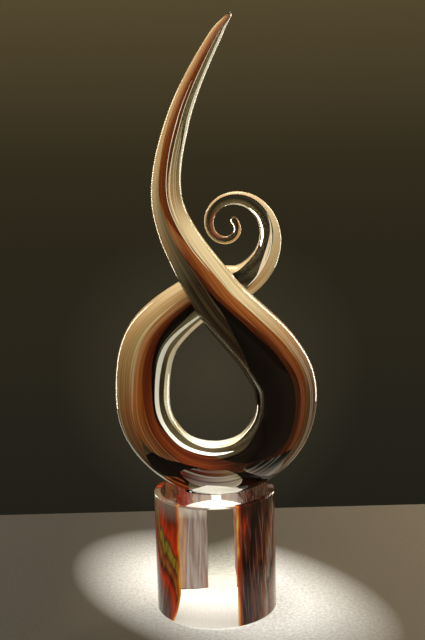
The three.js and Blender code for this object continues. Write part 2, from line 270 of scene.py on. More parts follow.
CREAM = "#DCC49A"
LIT_CREAM = "#F4EAD0"
WHITE = "#FBF8EE"
TAN = "#AC8256"
PINK_TAN = "#B98C6C"
OLIVE_TAN = "#8C764A"
GREY_OLIVE = "#6E644A"
DARK_OLIVE = "#453E2E"
DEEP_OLIVE = "#332B1E"
ORANGE_BROWN = "#A05A26"
SIENNA = "#7C4019"
UMBER = "#56341E"
RED_BROWN = "#602714"
OXBLOOD = "#3E140B"
BLACK_BROWN = "#22140E"
NEAR_BLACK = "#0A0807"
SILVER = "#B6AEA6"
MAUVE = "#8E7A74"
SCARLET = "#C4300F"
AMBER = "#E08A2A"
YELLOW = "#F2C24A"
MAROON = "#3A1513"
MOSS = "#8A7A24"
SMOKE = "#85786A"


def paint(code):
    """sRGB hex to linear RGBA."""
    srgb = np.array([int(code[k : k + 2], 16) for k in (1, 3, 5)]) / 255
    linear = np.where(srgb <= 0.04045, srgb / 12.92, ((srgb + 0.055) / 1.055) ** 2.4)
    return (*linear.tolist(), 1)


def add(tree, kind, links=(), stops=(), **settings):
    """Adds a node with its settings. links maps an input to a value or to another node's output,
    and stops fills a colour ramp with rows of place and colour. By number, a Map Range takes its
    value as input 0, the range that it reads as 1 and 2 and the range that it gives as 3 and 4;
    a Mix of colours takes the share as 0 and the two colours as 6 and 7, and gives output 2."""
    made = tree.nodes.new(kind)
    for name, value in settings.items():
        setattr(made, name, value)
    for key, value in dict(links).items():
        if isinstance(value, bpy.types.NodeSocket):
            tree.links.new(value, made.inputs[key])
        else:
            made.inputs[key].default_value = value
    for number, (place, colour) in enumerate(stops):
        points = made.color_ramp.elements
        point = points[number] if number < 2 else points.new(place)
        point.position = place
        point.color = paint(colour)
    return made


def new_material(name):
    material = bpy.data.materials.new(name)
    material.use_nodes = True
    material.node_tree.nodes.clear()
    return material, material.node_tree


def clear_glass(name, tint, roughness):
    """Clear hot-worked crystal, fire polished: a wet gloss, strong bending of what is behind it,
    and lamps shine through it on the colours inside."""
    material, tree = new_material(name)
    looks = {"Color": paint(tint), "Roughness": roughness, "IOR": 1.5}
    glass = add(tree, "ShaderNodeBsdfGlass", looks)
    open_air = add(tree, "ShaderNodeBsdfTransparent", {"Color": paint(tint)})
    ray = add(tree, "ShaderNodeLightPath")
    rays = {0: ray.outputs["Is Shadow Ray"], 1: ray.outputs["Is Diffuse Ray"]}
    through = add(tree, "ShaderNodeMath", rays, operation="MAXIMUM")
    parts = {0: through.outputs[0], 1: glass.outputs[0], 2: open_air.outputs[0]}
    mixed = add(tree, "ShaderNodeMixShader", parts)
    add(tree, "ShaderNodeOutputMaterial", {"Surface": mixed.outputs[0]})
    return material


def streak_noise(tree, vector, size, detail, lean=0.0, bend=0.0, shift=0.0):
    """The output of a noise whose blots are size (metres along and across), turned by lean and
    bent; shift moves the pattern, so that two glasses differ."""
    links = {0: vector, "Location": (shift, 0, 0), "Rotation": (0, 0, lean), "Scale": (*size, 1)}
    placed = add(tree, "ShaderNodeMapping", links, vector_type="TEXTURE")
    links = {0: placed.outputs[0], "Scale": 1, "Detail": detail, "Distortion": bend}
    return add(tree, "ShaderNodeTexNoise", links).outputs[0]


def cane_glass(name, near, far, thread_width, threads, contrast):
    """Opaque coloured glass pulled with the rod. Its colour runs from the ramp near, at the
    strand's first edge, to the ramp far, at its last, both along the rod; pulling has drawn its
    uneven mixing out into fine lengthways threads of the two tones. It sits in clear glass of
    the same index, so it has no gloss of its own."""
    material, tree = new_material(name)
    lengths = add(tree, "ShaderNodeUVMap", uv_map="lengths").outputs[0]
    shares = add(tree, "ShaderNodeUVMap", uv_map="shares").outputs[0]
    split = add(tree, "ShaderNodeSeparateXYZ", {0: shares})
    first = add(tree, "ShaderNodeValToRGB", {0: split.outputs[1]}, stops=near)
    last = add(tree, "ShaderNodeValToRGB", {0: split.outputs[1]}, stops=far)
    sway = streak_noise(tree, lengths, (250 * MM, 3 * thread_width), 2)
    fine = streak_noise(tree, lengths, (140 * MM, thread_width), 4)
    broad = streak_noise(tree, lengths, (200 * MM, 1.7 * thread_width), 3)
    swayed = add(tree, "ShaderNodeMapRange", {0: sway, 1: 0.3, 2: 0.7, 3: -0.35, 4: 0.35})
    links = {0: split.outputs[0], 1: swayed.outputs[0]}
    place = add(tree, "ShaderNodeMath", links, operation="ADD", use_clamp=True)
    links = {0: place.outputs[0], 6: first.outputs[0], 7: last.outputs[0]}
    body = add(tree, "ShaderNodeMix", links, data_type="RGBA")
    dark = add(tree, "ShaderNodeMapRange", {0: fine, 1: 0.52, 2: 0.36, 3: 0, 4: contrast})
    links = {0: dark.outputs[0], 6: body.outputs[2], 7: paint(threads[0])}
    body = add(tree, "ShaderNodeMix", links, data_type="RGBA")
    light = add(tree, "ShaderNodeMapRange", {0: broad, 1: 0.52, 2: 0.68, 3: 0, 4: contrast})
    links = {0: light.outputs[0], 6: body.outputs[2], 7: paint(threads[1])}
    body = add(tree, "ShaderNodeMix", links, data_type="RGBA")
    looks = {"Base Color": body.outputs[2], "Roughness": 0.6, "Specular IOR Level": 0}
    shader = add(tree, "ShaderNodeBsdfPrincipled", looks)
    add(tree, "ShaderNodeOutputMaterial", {"Surface": shader.outputs[0]})
    return material


# the rod's clear casing

RING_POINTS = 96
RING_SPACING = 1.3 * MM
NOMINAL_RADIUS = 21 * MM
TIP_STEPS = 9
TIP_TRIM = 0.12 * MM
# an end that narrows to nothing keeps this share of its width, so that every face has an area
LEAST_WIDTH_SHARE = 0.02
GROUND_TOLERANCE = 0.01 * MM
# blots of frost in a metre: 1.1 mm each, coarser than the real grit so that it shows
FROST_SCALE = 900


def casing_tube(material):
    """The rod's skin: full rings along the run, drawn in to a round end at each tip."""
    last = RUN[-1] - TIP_TRIM
    run = np.arange(0, RUN[-1], RING_SPACING)
    bead = sampled(RADIUS, np.array([0, RUN[-1]]))
    tips = np.linspace(0, 1, TIP_STEPS)
    inside = (run > TIP_TRIM + bead[0]) & (run < last - bead[1])
    run = np.concatenate([TIP_TRIM + bead[0] * tips[:-1], run[inside], last - bead[1] * tips[-2::-1]])
    from_end = np.minimum((run - TIP_TRIM) / bead[0], (last - run) / bead[1]).clip(0, 1)
    draw = np.sqrt(np.maximum(1 - (1 - from_end) ** 2, LEAST_WIDTH_SHARE**2))
    turn = np.linspace(0, 2 * np.pi, RING_POINTS, endpoint=False)[None].repeat(len(run), 0)
    points = rod_points(run, turn, np.ones_like(turn) * draw[:, None], FOOT_HEIGHT)
    across = np.linspace(0, 1, RING_POINTS + 1)[None]
    lengths = np.stack(np.broadcast_arrays(run[:, None], across * 2 * np.pi * NOMINAL_RADIUS), -1)
    shares = np.stack(np.broadcast_arrays(across, run[:, None] / RUN[-1]), -1)
    return Tube(points, lengths, shares, True, material, material, RING_POINTS)


def ground_glass(name):
    """Glass ground flat with grit: a white, slightly uneven frost."""
    material, tree = new_material(name)
    where = add(tree, "ShaderNodeTexCoord")
    links = {0: where.outputs["Object"], "Scale": FROST_SCALE, "Detail": 2}
    grit = add(tree, "ShaderNodeTexNoise", links)
    stops = ((0.3, "#E4E0D6"), (0.7, "#FFFFFF"))
    tone = add(tree, "ShaderNodeValToRGB", {0: grit.outputs[0]}, stops=stops)
    looks = {"Base Color": tone.outputs[0], "Roughness": 0.7}
    shader = add(tree, "ShaderNodeBsdfPrincipled", looks)
    add(tree, "ShaderNodeOutputMaterial", {"Surface": shader.outputs[0]})
    return material


crystal = clear_glass("fire_polished_crystal", "#F8F8F3", 0.0)
casing = make_piece("crystal_casing", [casing_tube(crystal)], "crystal_layer")
casing.materials.append(ground_glass("ground_glass_foot"))
middles = np.empty(3 * len(casing.polygons))
casing.polygons.foreach_get("center", middles)
is_ground = middles[2::3] < FOOT_HEIGHT + GROUND_TOLERANCE
casing.polygons.foreach_set("material_index", is_ground.astype(np.int32))

# the strands under the casing

EASE_LENGTH = 36 * MM
FINE_STEP = 0.5 * MM
TAPER_LENGTH = 9 * MM
# clear glass before the strands begin at the horn's tip and after they end at the curl's
HORN_TIP_COVER = 1.2 * MM
CURL_TIP_COVER = 2.4 * MM
FOOT_COVER = 0.5 * MM
LEAST_RINGS = 24
ARC_POINTS = 26
EDGE_SHARE = 0.1
# levels of the strands' outer faces and their thickness, as shares of the rod's radius
LINE_LEVEL = 0.982
OPALINE_LEVEL = 0.975
# the strands at the foot that paint the reflection of the lit base
FOOT_REFLECTION_LEVEL = 0.96
AMBER_LEVEL = 0.95
GARNET_LEVEL = 0.925
DARK_LEVEL = 0.9
STRAND_THICKNESS = 0.02
LINE_THICKNESS = 0.012
VEIL_REACH = 0.85
# degrees round the rod
LEAST_HALF_WIDTH = 0.4
STRAND_WANDER = 0.72
LINE_WANDER = 0.3
CALM_DEGREES = 8
WANDER_LENGTHS = (110 * MM, 47 * MM, 90 * MM, 38 * MM)


def eased(rows, column, run):
    """A row's value along the run: straight between the rows, then a moving average over
    EASE_LENGTH, so that an edge has no corner."""
    fine = np.arange(-EASE_LENGTH, RUN[-1] + EASE_LENGTH, FINE_STEP)
    at = np.interp([row[0] for row in rows], PLACES, RUN)
    values = np.interp(fine, at, [row[column] for row in rows])
    kernel = np.hanning(int(EASE_LENGTH / FINE_STEP) + 2)[1:-1]
    padded = np.convolve(np.pad(values, len(kernel), mode="edge"), kernel / kernel.sum(), "same")
    return np.interp(run, fine, padded[len(kernel) : -len(kernel)])


def strand_runs(rows):
    """The runs of a strand's rings, from its first row to its last, clear of the rod's tips."""
    first = max(run_at(rows[0][0]), HORN_TIP_COVER)
    last = min(run_at(rows[-1][0]), RUN[-1] - CURL_TIP_COVER)
    return np.linspace(first, last, max(int((last - first) / RING_SPACING), LEAST_RINGS))


def ripples(along, lengths, height, seed):
    """A wave of each length and this height along a line, each with a shift of its own."""
    shifts = np.random.default_rng(seed).uniform(0, 2 * np.pi, len(lengths))
    pairs = zip(lengths, shifts)
    return [np.sin(2 * np.pi * along / length + shift) * height for length, shift in pairs]


def rounded_section(count, edge_share):
    """A flat section with round edges: its places across, 0 to 1 and back, and for each how far
    it lies from the outer face, in halves of the thickness."""
    across = (1 - np.cos(np.linspace(0, np.pi, count))) / 2
    away = np.clip((np.abs(2 * across - 1) - 1 + edge_share) / edge_share, 0, 1)
    edge = 1 - np.sqrt(1 - away**2)
    return np.concatenate([across, across[-2:0:-1]]), np.concatenate([-edge, edge[-2:0:-1] - 2])


def strand_tubes(
    rows, level, seed, material, thickness=STRAND_THICKNESS, wander=STRAND_WANDER, both_sides=True
):
    """A flat strand under the skin: at each run its section is two arcs, from edge to edge,
    that meet in round edges. Rows hold a place on the route and the two edges in degrees as
    the front view shows them; the strand narrows to nothing at its first and last row. A strand
    on both sides is repeated behind, and any other lies round the inward side. The edges wander
    by two waves each. An edge at 180 degrees, where the front view ends, goes on to the strand
    behind, and calms down over the last CALM_DEGREES before it."""
    run = strand_runs(rows)
    ripple = ripples(run, WANDER_LENGTHS, wander, seed)
    tilt = sampled(TILT, run)
    low = eased(rows, 1, run) + tilt + ripple[0] + ripple[1]
    outermost = eased(rows, 2, run)
    calm = np.clip((180 - outermost) / CALM_DEGREES, 0, 1)
    high = outermost + (tilt + ripple[2] + ripple[3]) * calm
    from_end = np.minimum(run - run[0], run[-1] - run) / TAPER_LENGTH
    fade = np.sqrt(np.clip(from_end, LEAST_WIDTH_SHARE**2, 1))
    middle, half = (low + high) / 2, np.maximum((high - low) / 2, LEAST_HALF_WIDTH) * fade
    across, depth = rounded_section(ARC_POINTS, EDGE_SHARE)
    turn = np.radians(middle[:, None] + half[:, None] * (2 * across[None] - 1))
    share = np.broadcast_to(level + thickness / 2 * depth, turn.shape)
    closed = np.concatenate([turn, turn[:, :1]], 1) * NOMINAL_RADIUS
    around = np.stack(np.broadcast_arrays(run[:, None], closed), -1)
    place = np.append(across, across[0])
    if not both_sides:
        place = np.abs(2 * place - 1)
    shares = np.stack(np.broadcast_arrays(place[None], run[:, None] / RUN[-1]), -1)
    tubes = []
    for side in (1, -1) if both_sides else (1,):
        points = rod_points(run, side * turn, share, FOOT_HEIGHT + FOOT_COVER)
        tubes.append(Tube(points, around, shares, side > 0, material, material, ARC_POINTS - 1))
    return tubes


def veil_tube(rows, material):
    """A flat sheet through the rod from its front to its back. Rows hold a place on the route,
    the distances of its clear and its dark face from the rod's middle and the turn of its clear
    side from the inward one; the sheet is as wide as a circle of VEIL_REACH is at that distance,
    and its faces meet in round edges."""
    run = strand_runs(rows)
    near, far, turned = (eased(rows, column, run) for column in (1, 2, 3))
    from_end = np.minimum(run - run[0], run[-1] - run) / TAPER_LENGTH
    fade = np.clip(from_end, LEAST_WIDTH_SHARE, 1)
    across, depth = rounded_section(ARC_POINTS, EDGE_SHARE)
    inward = near[:, None] + (near - far)[:, None] / 2 * depth[None]
    reach = np.sqrt(VEIL_REACH**2 - inward**2)
    front = reach * (2 * across[None] - 1) * fade[:, None]
    turn = np.arctan2(front, inward) + np.radians(turned)[:, None]
    points = rod_points(run, turn, np.hypot(front, inward), FOOT_HEIGHT + FOOT_COVER)
    closed = np.concatenate([front, front[:, :1]], 1) * NOMINAL_RADIUS
    lengths = np.stack(np.broadcast_arrays(run[:, None], closed), -1)
    shares = np.stack(np.broadcast_arrays(np.append(across, 0)[None], run[:, None] / RUN[-1]), -1)
    return Tube(points, lengths, shares, True, material, material, ARC_POINTS - 1)


# rows of place on the route, first edge and last edge in degrees
RIM_STRAND = (
    (0.05, -50, 50), (1.25, -46, 46), (2.0, -48, 48), (2.5, -56, 56), (2.94, -62, 62),
    (3.38, -70, 70), (3.8, -80, 80), (4.2, -76, 76), (4.6, -54, 54), (5, -30, 30),
    (5.5, -18, 18), (6.21, -18, 18), (7, -24, 24), (7.8, -34, 34), (8.4, -42, 42), (9, -44, 44),
    (10.2, -38, 38), (12.16, -37, 37), (13.6, -30, 30), (14.5, -40, 40), (15.2, -66, 66),
    (16, -84, 84), (17, -74, 74), (18, -64, 64), (19, -58, 58), (20.5, -54, 54), (22, -52, 52),
    (24, -54, 54), (26, -60, 60), (28, -70, 70), (30, -84, 84), (31.9, -90, 90),
)
OUTER_STRAND_RIGHT = (
    (2.0, 112, 116), (2.3, 104, 136), (2.6, 98, 158), (2.94, 95, 176), (3.38, 104, 180),
    (3.7, 112, 180), (4.1, 119, 180), (4.9, 126, 180), (6.21, 130, 180), (7.35, 138, 180),
    (7.75, 156, 180),
)
OUTER_STRAND_LEFT = (
    (10.1, 172, 180), (10.4, 150, 180), (10.7, 126, 180), (11.2, 117, 180), (12.16, 109, 180),
    (12.94, 106, 180), (13.57, 106, 180), (14.5, 112, 166), (15.2, 140, 158),
    (15.8, 151, 163), (16.4, 155, 167), (17.4, 156, 172), (18.2, 158, 173), (18.9, 162, 170),
)
# strands at the loop's foot whose colours paint the lit base seen in the foot: a painted reflection
# in silver, mauve and white with a black wedge
FOOT_REFLECTION_STRANDS = (
    (
        (6.95, 142, 162), (7.3, 126, 176), (7.6, 110, 178), (7.85, 98, 160), (8.05, 92, 126),
        (8.25, 90, 102),
    ),
    ((8.36, 98, 150), (8.8, 94, 144), (9.3, 96, 138), (9.8, 104, 128)),
)
# a strand at the foot's lower left that paints the base's scarlet glass seen in the foot: a painted
# reflection
FOOT_SCARLET_REFLECTION = ((9.5, 120, 180), (9.8, 132, 180), (10.2, 160, 180))
AMBER_STRANDS = (
    (
        (0.05, 40, 76), (0.67, 44, 80), (1.25, 47, 80), (1.78, 46, 72), (2.35, 40, 62),
        (2.94, 40, 62), (3.15, 52, 76), (3.38, 68, 98), (3.7, 84, 114), (4.1, 97, 122),
        (4.9, 108, 128), (6.21, 117, 133), (7.35, 125, 143), (7.7, 140, 148),
    ),
    (
        (9.9, 94, 98), (10.24, 92, 108), (10.63, 92, 124), (11.4, 90, 118), (12.16, 89, 113),
        (12.94, 90, 110), (13.57, 92, 110), (14.4, 93, 111), (14.7, 98, 108),
    ),
)
GARNET_STRANDS = (
    (
        (0.05, 66, 112), (0.67, 72, 106), (1.25, 76, 103), (1.78, 68, 104), (2.35, 58, 104),
        (2.94, 56, 100), (3.38, 62, 104), (3.8, 76, 110), (4.1, 88, 112), (4.9, 98, 112),
        (6.21, 108, 121), (7.35, 114, 128), (7.79, 104, 122), (8.38, 84, 108), (9.02, 62, 92),
        (10.24, 64, 100), (10.63, 66, 100), (12.16, 70, 94), (12.94, 76, 94), (13.57, 84, 96),
        (14.4, 85, 96), (14.7, 88, 94),
    ),
    (
        (21.2, 150, 170), (22, 118, 176), (23.2, 84, 180), (24.5, 80, 180), (25.6, 96, 180),
        (26.6, 130, 160),
    ),
)
DARK_STRANDS = (
    (
        (3.72, 88, 92), (3.9, 80, 98), (4.2, 66, 102), (4.6, 46, 105), (5, 20, 107), (5.4, 8, 109),
        (5.9, 10, 111), (6.3, 24, 113), (6.8, 38, 116), (7.2, 44, 118), (7.6, 54, 130),
        (7.85, 62, 168), (8.1, 68, 178), (8.4, 72, 178), (8.6, 76, 128), (9.02, 76, 104),
        (10.24, 63, 77), (10.63, 64, 75), (12.16, 63, 73), (12.94, 66, 80), (13.57, 68, 90),
        (14.4, 69, 91), (14.7, 74, 90),
    ),
    ((9.4, 104, 130), (9.66, 96, 164), (10.1, 100, 178), (10.45, 116, 180), (10.75, 150, 176)),
)
# white threads, and white strands that are painted highlights: the first row on the loop's inner left
# side, the fifth on the curl's inner edge, the sixth on the horn's right rim, the seventh and eighth
# along the loop's outer edges, and the last, a painted reflection of the lit base, at the foot
WHITE_THREADS_AND_HIGHLIGHTS = (
    (
        (8.3, 58, 61), (9.02, 57, 64), (10.24, 56, 65), (10.9, 55, 65), (12.16, 53, 64),
        (12.94, 49, 60), (13.4, 44, 53), (13.9, 40, 45),
    ),
    ((0.6, 102, 104), (1.25, 102, 105), (2.35, 103, 106), (2.9, 101, 104), (3.3, 106, 109)),
    ((1.6, 85, 87), (2.35, 86, 89), (2.94, 90, 93), (3.38, 100, 102), (3.8, 110, 112)),
    ((15, 58, 63), (15.4, 70, 75), (16.2, 80, 85), (17.2, 80, 84), (18, 78, 80)),
    ((18.3, 160, 172), (18.8, 146, 180), (19.6, 138, 180), (20.4, 144, 180), (21, 164, 176)),
    ((0.12, 120, 180), (0.67, 122, 180), (1.25, 134, 180), (1.9, 135, 180), (2.5, 146, 180),
     (2.9, 160, 180)),
    ((9.75, 161, 180), (10.1, 160, 180), (10.7, 162, 180), (11.3, 166, 180), (12.3, 170, 180)),
    ((6.1, 170, 180), (6.8, 166, 180), (7.3, 164, 180), (7.7, 166, 180)),
    ((8.45, 148, 168), (8.7, 131, 180), (9.2, 129, 180), (9.45, 140, 176)),
)
# milky film between the clear and the dark glass: place on the route, its two faces as shares
# of the rod's radius from the middle, and the turn of its clear side from the inward side
VEIL_SHEET = (
    (0.12, 0.25, 0.15, 180), (2.0, 0.25, 0.15, 180), (2.9, 0.27, 0.17, 180),
    (3.35, 0.28, 0.18, 100), (3.75, 0.3, 0.2, 20), (4.1, 0.36, 0.27, 0), (5, 0.68, 0.61, 0),
    (6.2, 0.7, 0.63, 0), (8, 0.64, 0.55, 0), (9, 0.58, 0.48, 0), (10.5, 0.54, 0.44, 0),
    (12, 0.5, 0.4, 0), (13.6, 0.42, 0.33, 0), (14.9, 0.22, 0.14, 0),
)

# ramps: rows of share of the rod's run and colour
# opaline glass on the rod's inner rim, with painted highlights: the white stops about the middle of
# the run paint the lamps' highlights on the loop's inside bottom and inner left side
rim_opaline_and_highlights = cane_glass(
    "opaline_rim_cane_with_painted_highlights",
    (
        (0, CREAM), (0.18, CREAM), (0.22, TAN), (0.245, GREY_OLIVE), (0.265, DEEP_OLIVE),
        (0.4, DEEP_OLIVE), (0.44, GREY_OLIVE), (0.49, WHITE), (0.54, WHITE), (0.58, CREAM),
        (0.62, WHITE), (0.74, LIT_CREAM), (0.8, CREAM), (0.95, CREAM), (1, LIT_CREAM),
    ),
    (
        (0, TAN), (0.15, TAN), (0.2, GREY_OLIVE), (0.24, DARK_OLIVE), (0.265, BLACK_BROWN),
        (0.4, BLACK_BROWN), (0.44, DARK_OLIVE), (0.49, CREAM), (0.55, LIT_CREAM), (0.58, OLIVE_TAN),
        (0.62, LIT_CREAM), (0.74, CREAM), (0.8, TAN), (0.86, CREAM), (0.92, PINK_TAN),
        (0.96, OLIVE_TAN), (1, AMBER),
    ),
    thread_width=1.5 * MM, threads=(OLIVE_TAN, CREAM), contrast=0.09,
)
# opaline glass down the loop's right side; its first edge turns from cream to umber towards the foot,
# painted shade on the lower loop
right_opaline = cane_glass(
    "opaline_right_cane",
    (
        (0.14, OLIVE_TAN), (0.18, TAN), (0.22, CREAM), (0.3, CREAM), (0.35, TAN), (0.4, UMBER),
        (0.46, UMBER),
    ),
    (
        (0.14, GREY_OLIVE), (0.18, OLIVE_TAN), (0.22, CREAM), (0.3, CREAM), (0.35, PINK_TAN),
        (0.4, MAUVE), (0.46, SILVER),
    ),
    thread_width=1.3 * MM, threads=(OLIVE_TAN, LIT_CREAM), contrast=0.5,
)
# opaline glass down the loop's left side and over the curl; it turns from cream to black-brown
# towards the foot, painted shade on the lower loop
left_opaline = cane_glass(
    "opaline_left_cane",
    (
        (0.56, BLACK_BROWN), (0.58, UMBER), (0.62, SIENNA), (0.68, OLIVE_TAN), (0.74, TAN),
        (0.8, CREAM), (0.84, PINK_TAN), (1, ORANGE_BROWN),
    ),
    (
        (0.56, UMBER), (0.58, GREY_OLIVE), (0.64, OLIVE_TAN), (0.68, TAN), (0.74, CREAM),
        (0.8, CREAM), (0.84, TAN), (1, TAN),
    ),
    thread_width=1.2 * MM, threads=(UMBER, CREAM), contrast=0.45,
)
# painted reflection of the lit base seen through the rod's foot, in silver, mauve and white with a
# black wedge
foot_painted_reflection = cane_glass(
    "painted_base_reflection_in_foot",
    (
        (0.44, NEAR_BLACK), (0.485, NEAR_BLACK), (0.495, GREY_OLIVE), (0.51, UMBER),
        (0.53, OXBLOOD), (0.55, BLACK_BROWN),
    ),
    (
        (0.44, MAUVE), (0.46, SILVER), (0.485, MAUVE), (0.495, LIT_CREAM), (0.515, SILVER),
        (0.53, MAUVE), (0.545, RED_BROWN), (0.555, SCARLET),
    ),
    thread_width=1.8 * MM, threads=(BLACK_BROWN, SILVER), contrast=0.6,
)
# painted reflection of the base's scarlet glass in the rod's foot
foot_painted_scarlet = cane_glass(
    "painted_scarlet_reflection_in_foot",
    ((0.5, OXBLOOD), (0.6, OXBLOOD)),
    ((0.5, SCARLET), (0.6, SCARLET)),
    thread_width=2.6 * MM, threads=(OXBLOOD, AMBER), contrast=0.6,
)
amber = cane_glass(
    "amber_cane",
    (
        (0, PINK_TAN), (0.12, TAN), (0.2, TAN), (0.24, RED_BROWN), (0.29, SIENNA),
        (0.4, RED_BROWN), (0.57, OXBLOOD), (0.63, SIENNA), (0.75, UMBER),
    ),
    (
        (0, SIENNA), (0.12, SIENNA), (0.2, SIENNA), (0.24, ORANGE_BROWN), (0.29, ORANGE_BROWN),
        (0.4, SIENNA), (0.57, UMBER), (0.63, ORANGE_BROWN), (0.75, TAN),
    ),
    thread_width=1.1 * MM, threads=(RED_BROWN, TAN), contrast=0.5,
)
garnet = cane_glass(
    "garnet_cane",
    (
        (0, PINK_TAN), (0.05, SIENNA), (0.12, SIENNA), (0.2, SIENNA), (0.26, OXBLOOD),
        (0.4, BLACK_BROWN), (0.5, BLACK_BROWN), (0.54, OXBLOOD), (0.6, RED_BROWN), (0.7, OXBLOOD),
        (0.78, BLACK_BROWN), (0.9, RED_BROWN),
    ),
    (
        (0, SIENNA), (0.05, RED_BROWN), (0.12, OXBLOOD), (0.2, OXBLOOD), (0.26, SIENNA),
        (0.4, OXBLOOD), (0.47, OXBLOOD), (0.49, BLACK_BROWN), (0.53, RED_BROWN), (0.6, RED_BROWN),
        (0.7, RED_BROWN), (0.78, UMBER), (0.9, RED_BROWN), (0.94, PINK_TAN),
    ),
    thread_width=1.0 * MM, threads=(OXBLOOD, SIENNA), contrast=0.5,
)
dark = cane_glass(
    "black_cane",
    ((0, NEAR_BLACK), (1, NEAR_BLACK)),
    ((0, NEAR_BLACK), (1, BLACK_BROWN)),
    thread_width=2.2 * MM, threads=(NEAR_BLACK, BLACK_BROWN), contrast=0.4,
)
WHITE_STOPS = (
    (0, WHITE), (0.15, LIT_CREAM), (0.24, CREAM), (0.3, PINK_TAN), (0.44, CREAM), (0.5, WHITE)
)
# white glass for the threads and for the painted highlights
white = cane_glass(
    "white_cane_and_painted_highlights", WHITE_STOPS, WHITE_STOPS,
    thread_width=2.2 * MM, threads=(LIT_CREAM, WHITE), contrast=0.3,
)
FILM_STOPS = (
    (0, GREY_OLIVE), (0.22, GREY_OLIVE), (0.26, DEEP_OLIVE), (0.5, DEEP_OLIVE),
    (0.6, GREY_OLIVE), (1, DARK_OLIVE),
)
film = cane_glass(
    "milky_film_on_dark_glass", FILM_STOPS, FILM_STOPS,
    thread_width=1.6 * MM, threads=(DARK_OLIVE, OLIVE_TAN), contrast=0.1,
)

opaline_and_reflection_tubes = (
    strand_tubes(RIM_STRAND, OPALINE_LEVEL, 11, rim_opaline_and_highlights, both_sides=False)
    + strand_tubes(OUTER_STRAND_RIGHT, OPALINE_LEVEL, 12, right_opaline)
    + strand_tubes(OUTER_STRAND_LEFT, OPALINE_LEVEL, 13, left_opaline)
    + strand_tubes(FOOT_REFLECTION_STRANDS[0], FOOT_REFLECTION_LEVEL, 14, foot_painted_reflection)
    + strand_tubes(FOOT_REFLECTION_STRANDS[1], FOOT_REFLECTION_LEVEL, 15, foot_painted_reflection)
    + strand_tubes(FOOT_SCARLET_REFLECTION, OPALINE_LEVEL, 16, foot_painted_scarlet)
)
veil_tubes = [veil_tube(VEIL_SHEET, film)]
for seed, rows in enumerate(WHITE_THREADS_AND_HIGHLIGHTS, 51):
    veil_tubes += strand_tubes(rows, LINE_LEVEL, seed, white, LINE_THICKNESS, LINE_WANDER)
# the opaline strands, together with the strands that paint reflections at the foot
make_piece("opaline_strands_and_painted_reflections", opaline_and_reflection_tubes, "opaline_layer")
for colour, strands, level, first_seed, cane in (
    ("amber", AMBER_STRANDS, AMBER_LEVEL, 21, amber),
    ("garnet", GARNET_STRANDS, GARNET_LEVEL, 31, garnet),
    ("dark", DARK_STRANDS, DARK_LEVEL, 41, dark),
):
    tubes = []
    for seed, rows in enumerate(strands, first_seed):
        tubes += strand_tubes(rows, level, seed, cane)
    make_piece(f"{colour}_strands", tubes, f"{colour}_layer")
# the film and the white lines, many of which are painted highlights
make_piece("white_veil_lines_and_painted_highlights", veil_tubes, "white_veil")

# the base

BASE_STEPS = 160
EDGE_STEPS = 6
# a narrow flat band inside the rounded rim, which keeps its shading off the flat face
RIM_BAND = 0.2 * MM


def rounded_profile(radius, low, high, edge):
    """Half outline of a disc with rounded rims, from the lower pole to the upper one."""
    sweep = np.linspace(0, np.pi / 2, EDGE_STEPS)
    inner = radius - edge
    lower = np.stack([inner + edge * np.sin(sweep), low + edge - edge * np.cos(sweep)], -1)
    upper = np.stack([inner + edge * np.cos(sweep), high - edge + edge * np.sin(sweep)], -1)
    rim = inner - RIM_BAND
    return np.concatenate([[(0, low), (rim, low)], lower, upper, [(rim, high), (0, high)]])


def lathe_mesh(name, outline, steps, materials, numbers):
    """A solid of revolution: the outline's rows of radius and height, turned round Z, closed by
    a pole at each end. numbers gives the material of each band between rows."""
    turn = np.linspace(0, 2 * np.pi, steps, endpoint=False)
    round_z = np.stack([np.cos(turn), np.sin(turn)], -1)
    rows = outline[1:-1]
    heights = np.broadcast_to(rows[:, None, 1:], (len(rows), steps, 1))
    rings = np.concatenate([rows[:, None, :1] * round_z[None], heights], -1)
    verts = np.concatenate([rings.reshape(-1, 3), [[0, 0, outline[0, 1]], [0, 0, outline[-1, 1]]]])
    index = np.arange(len(rows) * steps).reshape(len(rows), steps)
    ahead = np.roll(index, -1, axis=1)
    quads = np.stack([index[:-1], ahead[:-1], ahead[1:], index[1:]], -1).reshape(-1, 4)
    pole = np.full(steps, len(rows) * steps)
    faces = np.stack([pole, ahead[0], index[0]], -1).tolist() + quads.tolist()
    faces += np.stack([pole + 1, index[-1], ahead[-1]], -1).tolist()
    mesh = bpy.data.meshes.new(name)
    mesh.from_pydata(verts.tolist(), [], faces)
    for material in materials:
        mesh.materials.append(material)
    mesh.polygons.foreach_set("material_index", np.repeat(numbers, steps).astype(np.int32))
    mesh.polygons.foreach_set("use_smooth", [True] * len(faces))
    mesh.update()
    return mesh


profile = rounded_profile(BASE_RADIUS, BASE_LOW.z, BASE_HIGH.z, BASE_EDGE_RADIUS)
ground_bands = EDGE_STEPS + 1
bands = [1] * ground_bands + [0] * (len(profile) - 1 - ground_bands)
ground_underside = ground_glass("ground_glass_underside")
base_mesh = lathe_mesh("base_crystal", profile, BASE_STEPS, [crystal, ground_underside], bands)
add_piece("base_crystal", base_mesh, "base_block")

# past the panel's edges by this share of its width its colours go on, for the lean to bring in
BAND_MARGIN = 0.25
# each pair: where a change of colour begins and where it is complete, by height or by depth
# the top of the back stripes, painted whiter for the light that the base gathers there
PAINTED_LIGHT_TOP_HEIGHTS = (64 * MM, 76 * MM)
BACK_PLACES = (33 * MM, 41 * MM)
# where, under the rim in front, the painted reflection of the clear rim lies
RIM_REFLECTION_HEIGHTS = (80 * MM, 92 * MM)
RIM_REFLECTION_PLACES = (10 * MM, -4 * MM)
SWIRL_SIZE = (60 * MM, 14 * MM)
STRIPE_SIZE = (110 * MM, 4 * MM)


